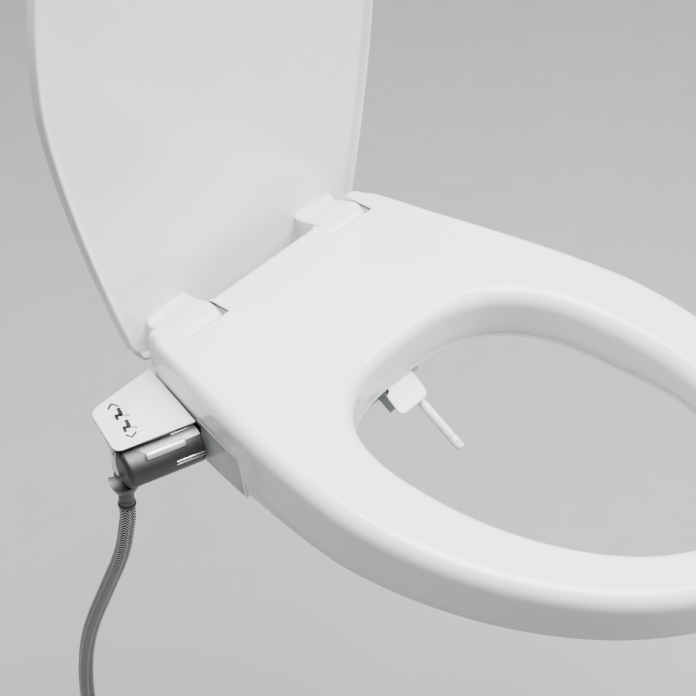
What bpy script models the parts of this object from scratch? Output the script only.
"""Bidet seat with a side lever, as an assembly of separate parts.

Frame: +Z up, -Y towards the front of the bowl, -X the sitter's right, where the control is.
The origin lies on the toilet deck, midway between the two seat bolts.
The seat slopes down towards the front, so everything above the deck is drawn in the seat's own
frame, level with the seat, and then leant forward by SLOPE and lifted by LIFT onto the deck.
Lengths are in metres. In the seat's frame "s" is the distance forward of the seat's rear edge,
so y = REAR - s.
The lid stands open and the seat lies down; one wash nozzle is out and the other is in.
"""
import math

import bmesh
import bpy
from mathutils import Matrix, Vector

# ---- driving dimensions -------------------------------------------------------------------
REAR = 0.060                # seat's rear edge, behind the bolt line
GAP = 0.0003                # clearance between parts that touch
SLOPE = math.radians(3.5)   # the seat's fall towards the front
LIFT = 0.0159               # seat frame's zero above the deck, at the bolts

SEAT_HALF_WIDTH = 0.1875    # widest, at WIDEST_S
SEAT_REAR_HALF = 0.1345     # at the rear edge
WIDEST_S = 0.250
SEAT_LENGTH = 0.520
TAPER_POWER = 1.44          # how the sides draw in towards the rear
SEAT_TOP = 0.055
WING_S = -0.0103            # rear edge outside the hinge notches
WING_R = 0.0146             # lower rear of these wings, round the hinge axis
SEAT_WALL = 0.003
SKIRT_CLEAR = 0.0055        # lower edge of the skirt above the deck
SKIRT_REAR_Z = 0.0212       # lower edge of the skirt over the base
STEP_S = 0.1353             # where the skirt steps down in front of the base
STEP_SLANT = 0.0093         # how far the step leans back over its height
INNER_WALL_Z = 0.0115       # lower edge round the opening, at the rear
NOSE_RISE = 0.0085          # how much higher the underside is at the nose

OPENING_S = 0.280           # widest point of the opening
OPENING_HALF = 0.122
OPENING_REAR = 0.128
OPENING_FRONT = 0.190
OPENING_POWER = 2.7         # squareness of the opening's rear half

BASE_TOP = 0.0200
BASE_DRAFT = 0.0030         # how far the base spreads from its top to below the deck
BASE_BOTTOM = 0.0015
BASE_FRONT_S = 0.1425
BASE_WALL = 0.0022

HINGE_S = 0.004             # lid and seat share one axis
HINGE_Z = 0.035
KNUCKLE_R = 0.0190
KNUCKLE_X = (0.0685, 0.1140)
NOTCH_X = (0.0667, 0.1160)
NOTCH_S = 0.0247
PIN_R = 0.0030

LID_LEAN = 4.0              # degrees beyond upright when open
LID_LIP = 0.02105           # closed lid, above the hinge axis: rim, inner face, outer face
LID_INNER = 0.0271
LID_OUTER = 0.0311
LID_REAR = 0.0196           # lid behind the hinge axis when closed
LID_OVERHANG = 0.0025

BOLT_X = 0.070              # half of the 140 mm seat-bolt spacing

NOZZLE_X = 0.0085
NOZZLE_TIP = (0.2105, -0.0417)   # s and z of the tip when it is out
NOZZLE_SLOPE = math.radians(31.1)
NOZZLE_R = 0.0040
NOZZLE_LENGTH = 0.075
NOZZLE_TRAVEL = 0.056
GATE_PIN = (0.1475, 0.0060)      # s and z
GATE_SLOPE = math.radians(38.0)
GATE_LENGTH = 0.0275
GATE_FLARE = 0.0050                # extra width on the side of the retracted nozzle
GATE_HALF = 0.0155

# control plate corners (x, s): rear inner, rear outer, front outer, front inner
PLATE = ((-0.1345, -0.0040), (-0.2030, -0.0030), (-0.2230, 0.0460), (-0.1565, 0.0690))
PLATE_Z = (0.0178, 0.0207)
DRUM_R = 0.0160
DRUM_OUT = 0.0025           # drum axis in front of the plate's front edge
DRUM_Z = 0.0008
DRUM_SPAN = (0.0015, 0.0700)
GRIP_ANGLE = math.radians(59.0)
GRIP_SPAN = (0.0205, 0.0550)

HOSE_R = 0.00675
HOSE_X, HOSE_S = -0.2170, 0.0470
HOSE_TURN = math.radians(15.0)   # the hose swings back and a little outward
# how far back, and how high: the hose's route in its own upright plane
HOSE_ROUTE = (
    (0.0000, -0.0413), (0.0005, -0.0540), (0.0030, -0.0680), (0.0075, -0.0910),
    (0.0145, -0.1140), (0.0220, -0.1340), (0.0310, -0.1580), (0.0400, -0.1820),
    (0.0485, -0.2070), (0.0555, -0.2340), (0.0600, -0.2620), (0.0625, -0.2920),
    (0.0625, -0.3250), (0.0605, -0.3700), (0.0575, -0.4200), (0.0545, -0.4700),
    (0.0518, -0.5150),
)

# ---- colours: base colour, roughness, metallic --------------------------------------------
WHITE = ((0.86, 0.87, 0.87), 0.25, 0.0)
GREY_PLASTIC = ((0.30, 0.31, 0.32), 0.5, 0.0)
DARK = ((0.05, 0.05, 0.055), 0.5, 0.0)
SATIN = ((0.50, 0.50, 0.51), 0.32, 1.0)
CHROME = ((0.75, 0.75, 0.76), 0.10, 1.0)
STEEL = ((0.58, 0.58, 0.60), 0.30, 1.0)
BRASS = ((0.72, 0.56, 0.30), 0.30, 1.0)
RUBBER = ((0.16, 0.16, 0.17), 0.8, 0.0)
SOFT_WHITE = ((0.80, 0.80, 0.80), 0.6, 0.0)
BRAID = ((0.45, 0.46, 0.48), 0.35, 1.0)


# ---- scene and object helpers -------------------------------------------------------------
def clear_scene():
    for obj in list(bpy.data.objects):
        bpy.data.objects.remove(obj, do_unlink=True)


def collection(name):
    found = bpy.data.collections.new(name)
    bpy.context.scene.collection.children.link(found)
    return found


clear_scene()
PARTS = collection("bidet_seat")
CUTTERS = collection("cutters")


def material(name, look):
    colour, roughness, metallic = look
    mat = bpy.data.materials.new(name)
    mat.use_nodes = True
    shader = mat.node_tree.nodes["Principled BSDF"]
    shader.inputs["Base Color"].default_value = (*colour, 1.0)
    shader.inputs["Roughness"].default_value = roughness
    shader.inputs["Metallic"].default_value = metallic
    return mat


LEAN = Matrix.Translation((0.0, 0.0, LIFT)) @ Matrix.Rotation(SLOPE, 4, "X")
LEVEL = Matrix.Identity(4)


def seat_point(x, s, z):
    """A point in the seat's frame: x, distance forward of the rear edge, and height."""
    return Vector((x, REAR - s, z))


def deck_height(s):
    """Height of the deck in the seat's frame."""
    return -LIFT / math.cos(SLOPE) + (s - REAR) * math.tan(SLOPE)


def add_part(name, mesh, look, angle=35.0, place=LEAN):
    obj = bpy.data.objects.new(name, mesh)
    PARTS.objects.link(obj)
    obj.matrix_world = place
    mesh.materials.clear()
    mesh.materials.append(material(name, look))
    mesh.shade_smooth()
    mesh.set_sharp_from_angle(angle=math.radians(angle))
    return obj


def mesh_from(bm, name="shape"):
    bmesh.ops.recalc_face_normals(bm, faces=bm.faces)
    mesh = bpy.data.meshes.new(name)
    bm.to_mesh(mesh)
    bm.free()
    return mesh


def cutter(mesh, place):
    obj = bpy.data.objects.new("cutter", mesh)
    CUTTERS.objects.link(obj)
    obj.hide_render = True
    obj.display_type = "WIRE"
    obj.matrix_world = place
    return obj


def combine(obj, mesh, how, place):
    """Cut a shape from an object, or join it on."""
    mod = obj.modifiers.new(how.lower(), "BOOLEAN")
    mod.operation = how
    mod.solver = "EXACT"
    mod.object = cutter(mesh, place)
    return mod


def cut(obj, mesh, place=LEAN):
    combine(obj, mesh, "DIFFERENCE", place)


def join(obj, mesh, place=LEAN):
    combine(obj, mesh, "UNION", place)


def bevel(obj, width, segments=2, angle=40.0):
    mod = obj.modifiers.new("bevel", "BEVEL")
    mod.width = width
    mod.segments = segments
    mod.limit_method = "ANGLE"
    mod.angle_limit = math.radians(angle)
    mod.use_clamp_overlap = True
    return mod


# ---- shapes --------------------------------------------------------------------------------
def box_mesh(low, high):
    """A box between two opposite corners."""
    low, high = Vector(low), Vector(high)
    size = high - low
    bm = bmesh.new()
    matrix = Matrix.Translation((low + high) / 2) @ Matrix.Diagonal((*size, 1.0))
    bmesh.ops.create_cube(bm, size=1.0, matrix=matrix)
    return mesh_from(bm)


def box_s(x_range, s_range, z_range):
    """A box given by ranges of x, s and z."""
    low = seat_point(x_range[0], s_range[1], z_range[0])
    high = seat_point(x_range[1], s_range[0], z_range[1])
    return box_mesh(low, high)


def rod_mesh(start, end, radius, segments=24, end_radius=None):
    """A cylinder or cone between two points."""
    start, end = Vector(start), Vector(end)
    along = end - start
    turn = along.to_track_quat("Z", "Y").to_matrix().to_4x4()
    bm = bmesh.new()
    bmesh.ops.create_cone(
        bm, cap_ends=True, segments=segments, radius1=radius,
        radius2=radius if end_radius is None else end_radius, depth=along.length,
        matrix=Matrix.Translation((start + end) / 2) @ turn,
    )
    return mesh_from(bm)


def hinge_rod(x_range, radius, segments=32):
    """A cylinder on the hinge axis."""
    return rod_mesh(seat_point(x_range[0], HINGE_S, HINGE_Z),
                    seat_point(x_range[1], HINGE_S, HINGE_Z), radius, segments)


def outline_plate(points, low, high):
    """A flat plate: a closed outline filled, between two heights along its own Z."""
    curve = bpy.data.curves.new("outline", "CURVE")
    curve.dimensions = "2D"
    curve.fill_mode = "BOTH"
    curve.extrude = (high - low) / 2
    spline = curve.splines.new("POLY")
    spline.points.add(len(points) - 1)
    for point, (x, y) in zip(spline.points, points):
        point.co = (x, y, 0.0, 1.0)
    spline.use_cyclic_u = True
    obj = bpy.data.objects.new("outline", curve)
    bpy.context.scene.collection.objects.link(obj)
    bpy.context.view_layer.update()
    mesh = bpy.data.meshes.new_from_object(obj.evaluated_get(bpy.context.evaluated_depsgraph_get()))
    bpy.data.objects.remove(obj, do_unlink=True)
    bm = bmesh.new()
    bm.from_mesh(mesh)
    bmesh.ops.remove_doubles(bm, verts=bm.verts, dist=1e-6)
    bmesh.ops.translate(bm, verts=bm.verts, vec=(0.0, 0.0, (low + high) / 2))
    return mesh_from(bm)


def across(mesh):
    """Turn a plate drawn in (y, z) so that its thickness lies along x."""
    mesh.transform(Matrix(((0, 0, 1, 0), (1, 0, 0, 0), (0, 1, 0, 0), (0, 0, 0, 1))))
    return mesh


def side_plate(points, x_range):
    """A plate drawn in (y, z) and spanning a range of x."""
    return across(outline_plate(points, *x_range))


def smooth_route(points, spacing):
    """Points a set distance apart on a smooth curve (Catmull-Rom) through the given ones."""
    points = [Vector(p) for p in points]
    ends = [2 * points[0] - points[1], *points, 2 * points[-1] - points[-2]]
    fine = []
    steps = 16
    for a, b, c, d in zip(ends, ends[1:], ends[2:], ends[3:]):
        for k in range(steps):
            t = k / steps
            fine.append(0.5 * (2 * b + (c - a) * t + (2 * a - 5 * b + 4 * c - d) * t ** 2
                               + (3 * b - a - 3 * c + d) * t ** 3))
    fine.append(points[-1])
    lengths = [0.0]
    for a, b in zip(fine, fine[1:]):
        lengths.append(lengths[-1] + (b - a).length)
    count = max(2, round(lengths[-1] / spacing))
    result = []
    place = 0
    for k in range(count + 1):
        target = lengths[-1] * k / count
        while place < len(fine) - 2 and lengths[place + 1] < target:
            place += 1
        share = (target - lengths[place]) / (lengths[place + 1] - lengths[place])
        result.append(fine[place].lerp(fine[place + 1], share))
    return result


def tube_part(name, points, radius, look, resolution=2, place=LEAN):
    """A tube along a route, with filled ends."""
    curve = bpy.data.curves.new(name, "CURVE")
    curve.dimensions = "3D"
    curve.bevel_depth = radius
    curve.bevel_resolution = resolution
    curve.use_fill_caps = True
    spline = curve.splines.new("POLY")
    spline.points.add(len(points) - 1)
    for point, spot in zip(spline.points, points):
        point.co = (*spot, 1.0)
    curve.materials.append(material(name, look))
    obj = bpy.data.objects.new(name, curve)
    PARTS.objects.link(obj)
    obj.matrix_world = place
    return obj


# ---- outlines ------------------------------------------------------------------------------
def half_width(s):
    """Half-width of the seat at a distance s forward of its rear edge."""
    if s <= WIDEST_S:
        share = (1.0 - s / WIDEST_S) ** TAPER_POWER
        return SEAT_HALF_WIDTH - (SEAT_HALF_WIDTH - SEAT_REAR_HALF) * share
    reach = (s - WIDEST_S) / (SEAT_LENGTH - WIDEST_S)
    return SEAT_HALF_WIDTH * math.sqrt(max(0.0, 1.0 - reach ** 2))


def body_outline(offset, rear_s, corner, sides=10, front=16, front_s=None):
    """Closed outline (x, y) of the seat grown by offset, from rear_s to the nose or to front_s."""
    rear_half = half_width(rear_s) + offset
    half = [((rear_half - corner) * k / 5, rear_s) for k in range(5)]
    for k in range(5):
        turn = math.radians(90.0 * k / 4)
        half.append((rear_half - corner + corner * math.sin(turn),
                     rear_s + corner - corner * math.cos(turn)))
    last = WIDEST_S if front_s is None else front_s
    start = rear_s + corner
    for k in range(1, sides + 1):
        s = start + (last - start) * k / sides
        half.append((half_width(s) + offset, s))
    if front_s is None:
        front_reach = SEAT_LENGTH + offset - WIDEST_S
        for k in range(1, front + 1):
            turn = math.radians(90.0 * k / front)
            half.append(((SEAT_HALF_WIDTH + offset) * math.cos(turn),
                         WIDEST_S + front_reach * math.sin(turn)))
        half[-1] = (0.0, SEAT_LENGTH + offset)
        mirrored = [(-x, s) for x, s in reversed(half[1:-1])]
    else:
        mirrored = [(-x, s) for x, s in reversed(half[1:])]
    return [(x, REAR - s) for x, s in half + mirrored]


def opening_radius(angle, offset=0.0):
    """Distance from the opening's centre to its edge, at an angle from +X towards the front."""
    side = abs(math.cos(angle)) / (OPENING_HALF + offset)
    if math.sin(angle) >= 0.0:
        ahead, power = math.sin(angle) / (OPENING_FRONT + offset), 2.0
    else:
        ahead, power = -math.sin(angle) / (OPENING_REAR + offset), OPENING_POWER
    return (side ** power + ahead ** power) ** (-1.0 / power)


def rise(s):
    """How much the underside lifts towards the nose, to stay clear of the deck."""
    share = min(1.0, max(0.0, (s - 0.27) / 0.10))
    return NOSE_RISE * share * share * (3.0 - 2.0 * share)


def seat_outline():
    """The seat's outline: its rear edge steps back outside the hinge notches."""
    middle = (NOTCH_X[0] + NOTCH_X[1]) / 2
    points = body_outline(0.0, WING_S, 0.009)
    return [(x, min(y, REAR)) if abs(x) < middle else (x, y) for x, y in points]


def wing_relief():
    """What is cut from the lower rear of the wings (y, z), so that they clear the base."""
    y, z = REAR - HINGE_S, HINGE_Z
    points = []
    for k in range(9):
        turn = math.radians(-90.0 + 101.5 * k / 8)
        points.append((y + WING_R * math.cos(turn), z + WING_R * math.sin(turn)))
    return points + [(REAR + 0.03, points[-1][1]), (REAR + 0.03, 0.0), (y, 0.0)]


def ring_loft(section):
    """A ring from the seat's outline to its opening. section gives (d, z) points across it."""
    outline = seat_outline()
    bm = bmesh.new()
    rings = []
    for x, y in outline:
        ahead = REAR - y - OPENING_S
        angle = math.atan2(ahead, x)
        inner = opening_radius(angle)
        outer = math.hypot(x, ahead)
        away = Vector((math.cos(angle), math.sin(angle)))
        ring = []
        for d, z in section(outer - inner, REAR - y, OPENING_S + inner * away.y):
            reach = outer - d
            ring.append(bm.verts.new(seat_point(away.x * reach, OPENING_S + away.y * reach, z)))
        rings.append(ring)
    count = len(rings[0])
    for a, b in zip(rings, rings[1:] + rings[:1]):
        for k in range(count):
            bm.faces.new((a[k], a[(k + 1) % count], b[(k + 1) % count], b[k]))
    return mesh_from(bm, "ring")


# ---- seat ----------------------------------------------------------------------------------
def seat_section(width, outer_s, inner_s):
    """Cross-section of the top shell: skirt, rounded shoulder, crowned top, rolled inner edge."""
    outer_r, inner_r = 0.011, 0.015
    shoulder = SEAT_TOP - 0.001
    skirt = deck_height(outer_s) + SKIRT_CLEAR
    sill = INNER_WALL_Z + rise(inner_s)
    points = [(0.0, skirt)]
    for k in range(5):
        turn = math.radians(90.0 * k / 4)
        points.append((outer_r * (1 - math.cos(turn)), shoulder - outer_r * (1 - math.sin(turn))))
    points.append((width * 0.5, SEAT_TOP))
    for k in range(5):
        turn = math.radians(90.0 * k / 4)
        points.append((width - inner_r * (1 - math.sin(turn)), shoulder - inner_r * (1 - math.cos(turn))))
    points.append((width, sill))
    wall = SEAT_WALL
    points.append((width - wall, sill))
    points.append((width - wall, shoulder - inner_r))
    points.append((width - wall - 0.4 * inner_r, shoulder - wall - 0.25 * inner_r))
    points.append((width - wall - 0.8 * inner_r, shoulder - wall))
    points.append((wall + outer_r * 0.8, shoulder - wall))
    points.append((wall, shoulder - outer_r))
    points.append((wall, skirt))
    return points


def step_edge(forward, high):
    """The slanted edge (y, z) where base and skirt meet, from below the deck up to a height."""
    low = -0.030
    slant = STEP_SLANT / (SKIRT_REAR_Z + 0.005)
    return [(REAR - STEP_S - forward + slant * (low + 0.005), low),
            (REAR - STEP_S - forward + slant * (high + 0.005), high)]


def base_room():
    """The space the base takes under the seat: the skirt is cut back around it."""
    step = step_edge(0.0, SKIRT_REAR_Z)
    return side_plate([(REAR + 0.02, -0.030), *step, (REAR + 0.02, SKIRT_REAR_Z)], (-0.25, 0.25))


def make_seat():
    seat = add_part("seat_top_shell", ring_loft(seat_section), WHITE, 50.0)
    cut(seat, base_room())
    for side in (-1, 1):
        core = sorted((side * (NOTCH_X[1] - 0.001), side * 0.1262))
        join(seat, box_s(core, (WING_S + 0.0020, 0.010), (SKIRT_REAR_Z, SEAT_TOP - 0.008)))
    cut(seat, side_plate(wing_relief(), (-0.25, 0.25)))
    for side in (-1, 1):
        inner, outer = (side * NOTCH_X[0], side * NOTCH_X[1])
        frame = sorted((inner - side * SEAT_WALL, outer + side * SEAT_WALL))
        join(seat, box_s(frame, (0.0015, NOTCH_S + SEAT_WALL), (0.0235, SEAT_TOP - 0.0035)))
        for edge, away in ((inner, -side), (outer, side)):
            span = sorted((edge, edge + away * 0.0065))
            join(seat, hinge_rod(span, 0.0095, 24))
            join(seat, box_s(span, (HINGE_S + 0.002, 0.026), (0.0265, SEAT_TOP - 0.0065)))
    for side in (-1, 1):
        notch = sorted((side * NOTCH_X[0], side * NOTCH_X[1]))
        cut(seat, box_s(notch, (-0.02, NOTCH_S), (0.0, 0.08)))
        pin = sorted((side * (NOTCH_X[0] - 0.012), side * (NOTCH_X[1] + 0.012)))
        cut(seat, hinge_rod(pin, PIN_R + 0.0001, 16))
    return seat


def bottom_section(width, outer_s, inner_s):
    inset = SEAT_WALL + GAP
    edge = INNER_WALL_Z - 0.0005 + rise(outer_s)
    lip = INNER_WALL_Z - 0.0005 + rise(inner_s)
    return [(inset, edge - 0.0025), (inset, edge), (width, lip), (width, lip - 0.0025)]


def make_seat_bottom():
    plate = add_part("seat_bottom_plate", ring_loft(bottom_section), WHITE)
    cut(plate, box_s((-0.25, 0.25), (-0.02, STEP_S + 0.016), (-0.02, 0.04)))
    for name, x, s in (("front", 0.094, 0.450), ("rear", 0.152, 0.235)):
        deck = deck_height(s)
        top = INNER_WALL_Z + rise(s - 0.014) - 0.0036
        for label, side in (("left", 1), ("right", -1)):
            centre = side * x
            low = Matrix.Rotation(-SLOPE, 4, "X")
            mesh = box_mesh((-0.009, -0.014, 0.0), (0.009, 0.014, top - deck - 0.0012))
            place = LEAN @ Matrix.Translation(seat_point(centre, s, deck)) @ low
            bumper = add_part("seat_bumper_%s_%s" % (name, label), mesh, SOFT_WHITE, 35.0, place)
            bevel(bumper, 0.0015, 2)


# ---- lid -----------------------------------------------------------------------------------
def lid_frame():
    """Closed-lid coordinates (y behind the axis, z above it) to the open lid in the world."""
    turn = Matrix.Rotation(-math.radians(90.0 + LID_LEAN), 4, "X")
    return LEAN @ Matrix.Translation(seat_point(0.0, HINGE_S, HINGE_Z)) @ turn


def closed_outline(offset, rear):
    """Lid outline (x, y) with y measured from the hinge axis."""
    points = body_outline(LID_OVERHANG + offset, HINGE_S - rear, 0.014 + offset)
    return [(x, y - (REAR - HINGE_S)) for x, y in points]


def arm_profile():
    """Side view (y, z) of a hinge arm on the open lid, measured from the hinge axis."""
    face = 0.0285
    points = []
    for k in range(11):
        turn = math.radians(2.0 + 88.0 * k / 10)
        points.append((-KNUCKLE_R * math.cos(turn), KNUCKLE_R * math.sin(turn)))
    points += [(0.0245, KNUCKLE_R), (0.0272, KNUCKLE_R + 0.0005), (face, KNUCKLE_R + 0.0018),
               (face + 0.002, KNUCKLE_R + 0.0018), (face + 0.0015, KNUCKLE_R - 0.0045),
               (0.0, KNUCKLE_R - 0.0030)]
    for k in range(1, 8):
        turn = math.radians(90.0 - 88.0 * k / 7)
        points.append((-(KNUCKLE_R - 0.003) * math.cos(turn), (KNUCKLE_R - 0.003) * math.sin(turn)))
    return points


def make_lid():
    outer = outline_plate(closed_outline(0.0, LID_REAR), LID_LIP, LID_OUTER)
    lid = add_part("lid_shell", outer, WHITE, 50.0, lid_frame())
    bevel(lid, 0.0028, 3)
    tray = closed_outline(-0.0040, LID_REAR - 0.0040)
    cut(lid, outline_plate(tray, LID_LIP - 0.01, LID_INNER), lid_frame())
    place = LEAN @ Matrix.Translation(seat_point(0.0, HINGE_S, HINGE_Z))
    for side in (-1, 1):
        span = sorted((side * KNUCKLE_X[0], side * KNUCKLE_X[1]))
        join(lid, side_plate(arm_profile(), span), place)
        for near, far in ((span[0], span[0] + 0.003), (span[1] - 0.003, span[1])):
            join(lid, hinge_rod((near, far), KNUCKLE_R - 0.0001, 32))
            web = [(0.0, -0.0165), (0.0, 0.0175), (0.0295, 0.0175), (0.0275, -0.0120)]
            join(lid, side_plate(web, (near, far)), place)
        cut(lid, hinge_rod((span[0] - 0.01, span[1] + 0.01), PIN_R + 0.0001, 16))
    for label, side in (("left", 1), ("right", -1)):
        mesh = rod_mesh((0, 0, 0.0207), (0, 0, LID_INNER - GAP), 0.0065, 20, 0.0080)
        place = lid_frame() @ Matrix.Translation((side * 0.112, -0.405, 0.0))
        add_part("lid_bumper_%s" % label, mesh, SOFT_WHITE, 35.0, place)
    return lid


# ---- hinge hardware ------------------------------------------------------------------------
def make_hinges():
    reach = NOTCH_X[0] - 0.0062, NOTCH_X[1] + 0.0062
    for label, side, damper in (("left", 1, "lid_damper"), ("right", -1, "seat_damper")):
        span = sorted((side * reach[0], side * reach[1]))
        add_part("hinge_pin_%s" % label, hinge_rod(span, PIN_R, 16), STEEL)
        inside = sorted((side * 0.0760, side * 0.1065))
        obj = add_part(damper, hinge_rod(inside, 0.0068, 20), GREY_PLASTIC)
        cut(obj, hinge_rod((inside[0] - 0.01, inside[1] + 0.01), PIN_R + GAP, 16))


# ---- base ----------------------------------------------------------------------------------
def base_outline(inset, rear_s=-0.004, front_s=BASE_FRONT_S):
    return body_outline(-0.001 - inset, rear_s, 0.008, sides=8, front_s=front_s)


def nozzle_place(x, back, lift=0.0):
    """A point on a nozzle's line: back from the extended tip, and lifted square to the line."""
    s = NOZZLE_TIP[0] - back * math.cos(NOZZLE_SLOPE) + lift * math.sin(NOZZLE_SLOPE)
    z = NOZZLE_TIP[1] + back * math.sin(NOZZLE_SLOPE) + lift * math.cos(NOZZLE_SLOPE)
    return seat_point(x, s, z)


def slanted_block(half_x, back_range, lift_range):
    """A block in line with the nozzles."""
    corners = [nozzle_place(0.0, b, h) for b, h in (
        (back_range[0], lift_range[0]), (back_range[1], lift_range[0]),
        (back_range[1], lift_range[1]), (back_range[0], lift_range[1]))]
    return side_plate([(p.y, p.z) for p in corners], (-half_x, half_x))


HOUSING_HALF = 0.0185
HOUSING_BACK = (0.0600, 0.1280)
HOUSING_THICK = 0.0055


def loft_outlines(lower, low, upper, high):
    """A block between two level outlines with the same number of points."""
    bm = bmesh.new()
    bottom = [bm.verts.new((x, y, low)) for x, y in lower]
    top = [bm.verts.new((x, y, high)) for x, y in upper]
    bm.faces.new(bottom)
    bm.faces.new(top)
    count = len(bottom)
    for k in range(count):
        ahead = (k + 1) % count
        bm.faces.new((bottom[k], bottom[ahead], top[ahead], top[k]))
    return mesh_from(bm)


def make_base_cover():
    low = -0.030
    shell = loft_outlines(base_outline(-BASE_DRAFT), low, base_outline(0.0), BASE_TOP)
    cover = add_part("base_cover", shell, WHITE, 50.0)
    bevel(cover, 0.0015, 2, 60.0)
    join(cover, box_s((-0.034, 0.034), (0.0660, BASE_FRONT_S - 0.0005), (0.010, 0.0400)))
    inset = BASE_WALL
    rear, front = -0.004 + BASE_WALL, BASE_FRONT_S - BASE_WALL
    cavity = loft_outlines(base_outline(inset - BASE_DRAFT, rear, front), low - 0.01,
                           base_outline(inset, rear, front), BASE_TOP - BASE_WALL)
    cut(cover, cavity)
    cut(cover, box_s((-0.0318, 0.0318), (0.0682, BASE_FRONT_S - 0.0027), (-0.03, 0.0378)))
    for side in (-1, 1):
        beside = sorted((side * 0.0345, side * 0.3))
        edge = step_edge(-0.0010, BASE_TOP + 0.001)
        ahead = REAR - BASE_FRONT_S - 0.02
        cut(cover, side_plate([(ahead, edge[0][1]), *edge, (ahead, edge[1][1])], beside))
    close_base_front(cover, low)
    under = box_mesh((-0.3, -0.3, -0.1), (0.3, 0.3, 0.0005))
    cut(cover, under, LEVEL)
    return cover


def close_base_front(cover, low):
    """The slanted front walls beside the nozzle hump, and the hump's sides below the top."""
    edge = step_edge(-0.0011, BASE_TOP - 0.0005)
    wall = [*edge, *((y + 0.0018, z) for y, z in reversed(edge))]
    for side in (-1, 1):
        beside, cheek = (sorted((side * 0.0325, side * outer)) for outer in (0.1662, 0.0343))
        join(cover, side_plate(wall, beside))
        join(cover, box_s(cheek, (0.1304, BASE_FRONT_S - 0.0008), (low, 0.0120)))


def finish_base_cover(cover):
    for side in (-1, 1):
        block = sorted((side * 0.0640, side * 0.1187))
        join(cover, box_s(block, (-0.0030, 0.0290), (0.0060, BASE_TOP - 0.0005)))
    for side in (-1, 1):
        pocket = sorted((side * 0.0667, side * 0.1160))
        cut(cover, hinge_rod(pocket, KNUCKLE_R + 0.0010, 40))
    for side in (-1, 1):
        post = sorted((side * 0.0755, side * 0.1070))
        join(cover, hinge_rod(post, 0.0095, 24))
        join(cover, box_s(post, (-0.0032, 0.0008), (0.0100, 0.0330)))
        cut(cover, hinge_rod((post[0] - 0.001, post[1] + 0.001), 0.0068 + GAP, 24))
    join(cover, box_mesh((0.1341, -0.0065, 0.0100), (0.1352, 0.0065, 0.0345)), LEVEL)
    cut(cover, rod_mesh((0.1300, 0.0, 0.0175), (0.1380, 0.0, 0.0175), 0.0026, 16), LEVEL)
    cut(cover, slanted_block(HOUSING_HALF + 0.0005, (0.050, 0.140), (-0.0060, 0.0060)))
    cut(cover, box_s((-0.175, -0.146), (0.0595, 0.0725), (0.0036, 0.0150)))
    cut(cover, box_mesh((0.140, -0.0072, 0.0123), (0.175, 0.0072, 0.0227)), LEVEL)


def make_bottom_plate():
    inset = BASE_WALL + 0.0010 - BASE_DRAFT * 0.5
    front = BASE_FRONT_S - STEP_SLANT - 0.004
    outline = base_outline(inset, -0.004 + BASE_WALL + 0.0015, front)
    plate = add_part("base_bottom_plate", outline_plate(outline, BASE_BOTTOM, 0.0035),
                     GREY_PLASTIC, 35.0, LEVEL)
    cut(plate, box_mesh((-0.0915, -0.0315, -0.01), (0.0915, 0.0315, 0.02)), LEVEL)
    cut(plate, slanted_block(HOUSING_HALF + 0.0010, (0.040, 0.150), (-0.0070, 0.0070)))
    pads = (("centre", 0.0, 0.0, 0.030, 0.020), ("left", 0.128, -0.020, 0.010, 0.022),
            ("right", -0.128, -0.020, 0.010, 0.022))
    for label, x, y, half_x, half_y in pads:
        mesh = box_mesh((x - half_x, y - half_y, 0.0), (x + half_x, y + half_y, BASE_BOTTOM - GAP))
        add_part("anti_slip_pad_%s" % label, mesh, RUBBER, 35.0, LEVEL)


def make_mounting():
    mesh = box_mesh((-0.0905, -0.0305, BASE_BOTTOM), (0.0905, 0.0305, 0.0045))
    plate = add_part("mounting_plate", mesh, GREY_PLASTIC, 35.0, LEVEL)
    for side in (-1, 1):
        cut(plate, rod_mesh((side * BOLT_X, 0.0, -0.01), (side * BOLT_X, 0.0, 0.01), 0.0045, 20), LEVEL)
    cut(plate, box_mesh((0.0795, -0.0060, 0.0), (0.0885, 0.0060, 0.02)), LEVEL)
    for label, side in (("left", 1), ("right", -1)):
        make_bolt_set(label, side * BOLT_X)


def make_bolt_set(label, x):
    """A seat bolt with its washer, rubber bushing and nut below the deck."""
    def add(name, look, low, high, radius, segments=20, end_radius=None):
        mesh = rod_mesh((x, 0.0, low), (x, 0.0, high), radius, segments, end_radius)
        return add_part("%s_%s" % (name, label), mesh, look, 35.0, LEVEL)

    hole = 0.0043
    bolt = add("seat_bolt", STEEL, -0.052, 0.0080, 0.0040, 16)
    head = rod_mesh((x, 0.0, 0.0060 + GAP), (x, 0.0, 0.0098), 0.0085, 24, 0.0070)
    join(bolt, head, LEVEL)
    washer = add("bolt_washer", STEEL, 0.0045 + GAP, 0.0060, 0.0095, 24)
    bushing = add("bolt_bushing", RUBBER, -0.0300, -0.0200, 0.0085, 20, 0.0130)
    nut = add("bolt_nut", GREY_PLASTIC, -0.0425, -0.0303, 0.0095)
    for away in (-1, 1):
        wing = sorted((x + away * 0.007, x + away * 0.0185))
        join(nut, box_mesh((wing[0], -0.0018, -0.0465), (wing[1], 0.0018, -0.0325)), LEVEL)
    for ring in (washer, bushing, nut):
        cut(ring, rod_mesh((x, 0.0, -0.06), (x, 0.0, 0.02), hole, 16), LEVEL)


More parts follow.
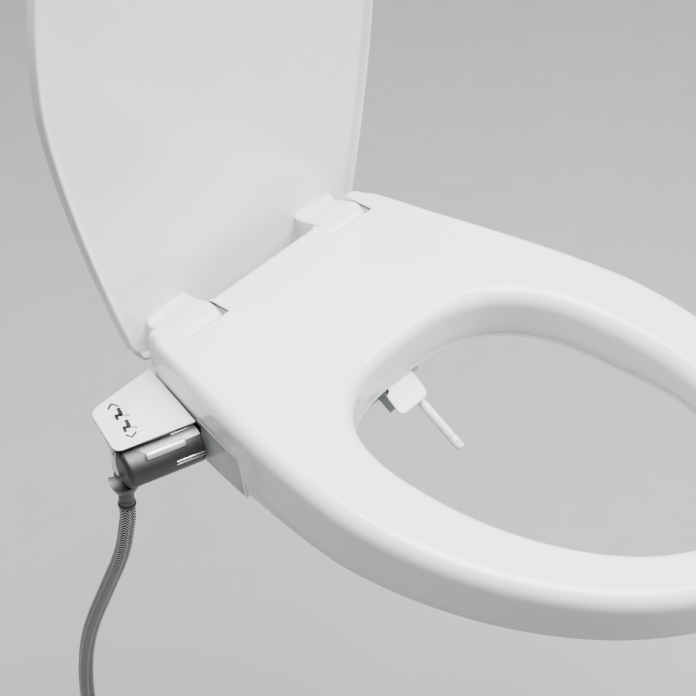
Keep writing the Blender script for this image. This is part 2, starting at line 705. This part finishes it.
def make_release():
    """Push button on the sitter's left, with its latch bar and spring, level with the deck."""
    def bar(x_range, half_y, z_range):
        return box_mesh((x_range[0], -half_y, z_range[0]), (x_range[1], half_y, z_range[1]))

    low, high = 0.0130, 0.0220
    middle = (low + high) / 2
    button = add_part("release_button", bar((0.1450, 0.1535), 0.0065, (low, high)), GREY_PLASTIC,
                      35.0, LEVEL)
    bevel(button, 0.0008, 2)
    join(button, rod_mesh((0.1340, 0.0, middle), (0.1455, 0.0, middle), 0.0022, 16), LEVEL)
    latch = add_part("release_latch", bar((0.0850, 0.1337), 0.0050, (0.0110, 0.0135)), STEEL,
                     35.0, LEVEL)
    join(latch, bar((0.1290, 0.1337), 0.0050, (0.0120, high)), LEVEL)
    join(latch, bar((0.0850, 0.0875), 0.0050, (0.0020, 0.0120)), LEVEL)
    turns, per_turn, length = 3, 12, 0.0036
    count = turns * per_turn
    coil = [(0.1358 + length * k / count,
             0.0036 * math.cos(2 * math.pi * k / per_turn),
             middle + 0.0036 * math.sin(2 * math.pi * k / per_turn))
            for k in range(count + 1)]
    tube_part("release_spring", coil, 0.0004, STEEL, 2, LEVEL)


# ---- wash unit -----------------------------------------------------------------------------
def make_nozzle_unit():
    housing = add_part("nozzle_housing",
                       slanted_block(HOUSING_HALF, HOUSING_BACK, (-HOUSING_THICK, HOUSING_THICK)), DARK)
    for side in (-1, 1):
        lug = sorted((side * (GATE_HALF + 0.0006), side * HOUSING_HALF))
        s, z = GATE_PIN
        join(housing, side_plate([(REAR - s - 0.0025, z - 0.006), (REAR - s - 0.0025, z + 0.0018),
                                  (REAR - s - 0.0010, z + 0.0028), (REAR - s + 0.0030, z + 0.0028),
                                  (REAR - s + 0.0045, z - 0.004)], lug))
        line = [nozzle_place(side * NOZZLE_X, b) for b in (0.050, 0.1262)]
        cut(housing, rod_mesh(line[0], line[1], 0.0050, 20))
        port = [nozzle_place(side * NOZZLE_X, b) for b in (0.120, 0.140)]
        cut(housing, rod_mesh(port[0], port[1], 0.0016, 12))
    pin_ends = [seat_point(x, *GATE_PIN) for x in (-0.0200, 0.0200)]
    cut(housing, rod_mesh(pin_ends[0], pin_ends[1], 0.0013, 12))
    make_gate()
    for label, side, inward in (("front_wash", 1, 0.0), ("rear_wash", -1, NOZZLE_TRAVEL)):
        x = side * NOZZLE_X
        tube = add_part("%s_nozzle" % label,
                        rod_mesh(nozzle_place(x, inward + 0.0123),
                                 nozzle_place(x, inward + NOZZLE_LENGTH - 0.008), NOZZLE_R, 20), WHITE)
        join(tube, rod_mesh(nozzle_place(x, inward + NOZZLE_LENGTH - 0.009),
                            nozzle_place(x, inward + NOZZLE_LENGTH - 0.006), 0.0047, 20))
        bevel(tube, 0.0003, 1, 60.0)
        tip = add_part("%s_tip" % label, rod_mesh(nozzle_place(x, inward), nozzle_place(x, inward + 0.012),
                                                  0.0042, 24), WHITE)
        bevel(tip, 0.0006, 2, 60.0)
        cut(tip, rod_mesh(nozzle_place(x, inward + 0.005, 0.0010), nozzle_place(x, inward + 0.005, 0.0060),
                          0.0011, 12))


def make_gate():
    """Flap over the nozzles: a thin flat plate with rounded corners, hung from its pin."""
    outline = []
    corner = 0.006
    for side, half in ((1, GATE_HALF + GATE_FLARE), (-1, GATE_HALF)):
        for k in range(5):
            turn = math.radians(90.0 * k / 4) if side > 0 else math.radians(90.0 - 90.0 * k / 4)
            outline.append((side * (half - corner + corner * math.cos(turn)),
                            GATE_LENGTH - corner + corner * math.sin(turn)))
    outline += [(-GATE_HALF, 0.0), (GATE_HALF, 0.0), (GATE_HALF, 0.0050),
                (GATE_HALF + GATE_FLARE, 0.0072)]
    mesh = outline_plate(outline, 0.0002, 0.0017)
    s, z = GATE_PIN
    turn = Matrix.Rotation(math.pi, 4, "Z")
    tilt = Matrix.Rotation(GATE_SLOPE, 4, "X")
    mesh.transform(Matrix.Translation(seat_point(0.0, s, z)) @ tilt @ turn)
    gate = add_part("gate_flap", mesh, WHITE)
    ends = [seat_point(x, s, z) for x in (-GATE_HALF, GATE_HALF)]
    join(gate, rod_mesh(ends[0], ends[1], 0.0024, 20))
    reach = [seat_point(x, s, z) for x in (-GATE_HALF - 0.01, GATE_HALF + 0.01)]
    cut(gate, rod_mesh(reach[0], reach[1], 0.0012, 12))
    pin = [seat_point(x, s, z) for x in (-HOUSING_HALF, HOUSING_HALF)]
    add_part("gate_pin", rod_mesh(pin[0], pin[1], 0.0010, 12), STEEL)


def make_water_tubes():
    """Two tubes from the outlet block, through the base, to the back of the nozzle housing."""
    rear = [(-0.1370, 0.0690, 0.0095), (-0.1200, 0.0760, 0.0095), (-0.1000, 0.0880, 0.0095),
            (-0.0700, 0.0960, 0.0095), (-0.0480, 0.0960, 0.0110), (-0.0330, 0.0940, 0.0125),
            (-0.0210, 0.0890, 0.0180), (-0.0125, 0.0850, 0.0255), (-0.0086, 0.0870, 0.0305)]
    front = [(-0.1370, 0.0620, 0.0095), (-0.1200, 0.0660, 0.0095), (-0.1000, 0.0760, 0.0100),
             (-0.0880, 0.0810, 0.0105), (-0.0600, 0.0850, 0.0110), (-0.0400, 0.0830, 0.0120),
             (-0.0270, 0.0800, 0.0150), (-0.0130, 0.0760, 0.0215), (0.0000, 0.0750, 0.0280),
             (0.0085, 0.0790, 0.0320)]
    for label, side, route in (("rear_wash_tube", -1, rear), ("front_wash_tube", 1, front)):
        points = [seat_point(*p) for p in route]
        points += [nozzle_place(side * NOZZLE_X, 0.1365), nozzle_place(side * NOZZLE_X, 0.1285)]
        tube_part(label, smooth_route(points, 0.007), 0.0028, SOFT_WHITE)


# ---- control -------------------------------------------------------------------------------
def plate_axes():
    """Front-edge frame of the control: its corner, the way along the edge and the way out."""
    corner = seat_point(PLATE[2][0], PLATE[2][1], 0.0)
    along = (seat_point(PLATE[3][0], PLATE[3][1], 0.0) - corner).normalized()
    out = Vector((along.y, -along.x, 0.0))
    return corner, along, out


def control_point(d, n, z):
    """d along the plate's front edge from its outer corner, n out in front of it, z up."""
    corner, along, out = plate_axes()
    point = corner + along * d + out * n
    return Vector((point.x, point.y, z))


def drum_rod(span, radius, segments=32):
    return rod_mesh(control_point(span[0], DRUM_OUT, DRUM_Z), control_point(span[1], DRUM_OUT, DRUM_Z),
                    radius, segments)


def rounded(points, radii, steps=4):
    """A polygon with its corners rounded by quadratic curves."""
    result = []
    count = len(points)
    for k, radius in enumerate(radii):
        here = Vector(points[k])
        before = here + (Vector(points[k - 1]) - here).normalized() * radius
        after = here + (Vector(points[(k + 1) % count]) - here).normalized() * radius
        if radius == 0.0:
            result.append(tuple(here))
            continue
        for j in range(steps + 1):
            t = j / steps
            result.append(tuple(before * (1 - t) ** 2 + here * 2 * t * (1 - t) + after * t ** 2))
    return result


def loft_quads(lower, low, upper, high):
    """A block between two four-sided sections."""
    bm = bmesh.new()
    bottom = [bm.verts.new(seat_point(x, s, low)) for x, s in lower]
    top = [bm.verts.new(seat_point(x, s, high)) for x, s in upper]
    bm.faces.new(bottom)
    bm.faces.new(top)
    for k in range(4):
        bm.faces.new((bottom[k], bottom[(k + 1) % 4], top[(k + 1) % 4], top[k]))
    bmesh.ops.triangulate(bm, faces=bm.faces)
    return mesh_from(bm)


def make_control():
    corners = [(p.x, p.y) for p in (seat_point(x, s, 0.0) for x, s in PLATE)]
    plate = add_part("control_top_plate",
                     outline_plate(rounded(corners, (0.001, 0.008, 0.007, 0.001)), *PLATE_Z), WHITE)
    bevel(plate, 0.0008, 2, 60.0)
    top = ((-0.1360, -0.0030), (-0.2005, -0.0020), (-0.2215, 0.0452), (-0.1575, 0.0675))
    middle = ((-0.1395, 0.0010), (-0.1880, 0.0050), (-0.2205, 0.0450), (-0.1580, 0.0660))
    low_top = ((-0.1720, 0.0080), (-0.1895, 0.0080), (-0.2207, 0.0448), (-0.1720, 0.0600))
    low = ((-0.1760, 0.0200), (-0.1960, 0.0220), (-0.2185, 0.0455), (-0.1760, 0.0590))
    housing = add_part("control_housing", loft_quads(middle, 0.0015, top, PLATE_Z[0] - GAP), WHITE)
    join(housing, loft_quads(low, -0.0155, low_top, 0.0020))
    cut(housing, drum_rod((DRUM_SPAN[0] - 0.0006, 0.110), DRUM_R + 0.0006, 40))
    cut(housing, box_s((-0.175, -0.150), (0.0150, 0.0440), (0.0035, 0.0160)))
    base_side = base_outline(-0.0006)
    cut(housing, outline_plate(base_side, -0.03, 0.03))
    for k, (x, s) in enumerate(((-0.1500, 0.0060), (-0.1920, 0.0075))):
        head = seat_point(x, s, PLATE_Z[0] - GAP)
        cut(housing, rod_mesh(head - Vector((0, 0, 0.0130)), head + Vector((0, 0, 0.01)), 0.0034, 16))
        screw = rod_mesh(head - Vector((0, 0, 0.0120)), head - Vector((0, 0, 0.0005)), 0.0014, 12)
        obj = add_part("housing_screw_%s" % ("inner", "outer")[k], screw, STEEL)
        join(obj, rod_mesh(head - Vector((0, 0, 0.0030)), head - Vector((0, 0, 0.0005)), 0.0028, 16))
    make_lever()
    make_inlet()


def make_lever():
    drum = add_part("lever_drum", drum_rod(DRUM_SPAN, DRUM_R, 48), SATIN, 30.0)
    bevel(drum, 0.0025, 3, 60.0)
    cut(drum, drum_rod((0.0100, 0.090), 0.0115, 32))
    axis = plate_axes()[2]
    reach = DRUM_R + 0.0004

    def around(d, radius):
        out = axis * math.cos(GRIP_ANGLE) * radius
        place = control_point(d, DRUM_OUT, DRUM_Z + math.sin(GRIP_ANGLE) * radius)
        return place + out

    grip = add_part("lever_grip", rod_mesh(around(GRIP_SPAN[0], reach), around(GRIP_SPAN[1], reach),
                                           0.0032, 20), SATIN)
    bevel(grip, 0.0012, 3, 60.0)
    cut(grip, drum_rod((0.0, 0.08), DRUM_R + GAP, 64))
    add_part("valve_spindle", drum_rod((0.0103, 0.0400), 0.0040, 20), STEEL)
    valve = add_part("valve_body", drum_rod((0.0130, 0.0665), 0.0107, 28), BRASS)
    join(valve, drum_rod((0.0660, 0.0715), 0.0052, 20))
    cut(valve, drum_rod((0.0, 0.0420), 0.0044, 20))


def make_inlet():
    """Outlet block, inlet collar under the lever's outer end, and the duct back to the valve."""
    add_part("outlet_block", box_s((-0.1522, -0.1380), (0.0600, 0.0720), (0.0041, 0.0145)), DARK)
    under = DRUM_Z - DRUM_R - 0.0008

    def level(z):
        return seat_point(HOSE_X, HOSE_S, z)

    collar = add_part("inlet_collar", rod_mesh(level(-0.0240), level(under - 0.0002), 0.0080, 32, 0.0112),
                      CHROME)
    cut(collar, box_s((-0.26, -0.18), (0.0350, 0.0415), (-0.05, 0.0)))
    duct = add_part("inlet_duct",
                    box_s((-0.2140, -0.1960), (0.0300, 0.0412), (-0.0235, under - 0.0006)), BRASS)
    bevel(duct, 0.0015, 2)
    ferrule = add_part("hose_top_ferrule", rod_mesh(level(-0.0378), level(-0.0243), 0.0064, 28), CHROME)
    join(ferrule, rod_mesh(level(-0.0407), level(-0.0370), 0.0072, 28))


def hose_points():
    back = Vector((-math.sin(HOSE_TURN), math.cos(HOSE_TURN)))
    start = seat_point(HOSE_X, HOSE_S, 0.0)
    return [Vector((start.x + back.x * h, start.y + back.y * h, z)) for h, z in HOSE_ROUTE]


def make_hose():
    points = [LEAN @ p for p in hose_points()]
    tube_part("supply_hose", smooth_route(points, 0.018), HOSE_R, BRAID, 2, LEVEL)
    end = points[-1]

    def level(drop):
        return end - Vector((0, 0, drop))

    def turned(name, look, top, bottom, radius):
        return add_part(name, rod_mesh(level(bottom), level(top), radius, 28), look, 35.0, LEVEL)

    turned("hose_end_ferrule", CHROME, 0.0005, 0.0153, 0.0070)
    nut = turned("hose_nut", GREY_PLASTIC, 0.0156, 0.0370, 0.0125)
    for k in range(8):
        angle = 2 * math.pi * k / 8
        side = Vector((math.cos(angle), math.sin(angle), 0.0)) * 0.0128
        cut(nut, rod_mesh(level(0.0310) + side, level(0.0100) + side, 0.0016, 12), LEVEL)
    cut(nut, rod_mesh(level(0.0400), level(0.0210), 0.0098, 28), LEVEL)
    seal = turned("hose_nut_washer", RUBBER, 0.0213, 0.0235, 0.0092)
    cut(seal, rod_mesh(level(0.0300), level(0.0100), 0.0050, 16), LEVEL)


# ---- assembly ------------------------------------------------------------------------------
def main():
    make_lid()
    make_seat()
    make_seat_bottom()
    make_hinges()
    cover = make_base_cover()
    finish_base_cover(cover)
    make_bottom_plate()
    make_mounting()
    make_release()
    make_nozzle_unit()
    make_water_tubes()
    make_control()
    make_hose()


main()
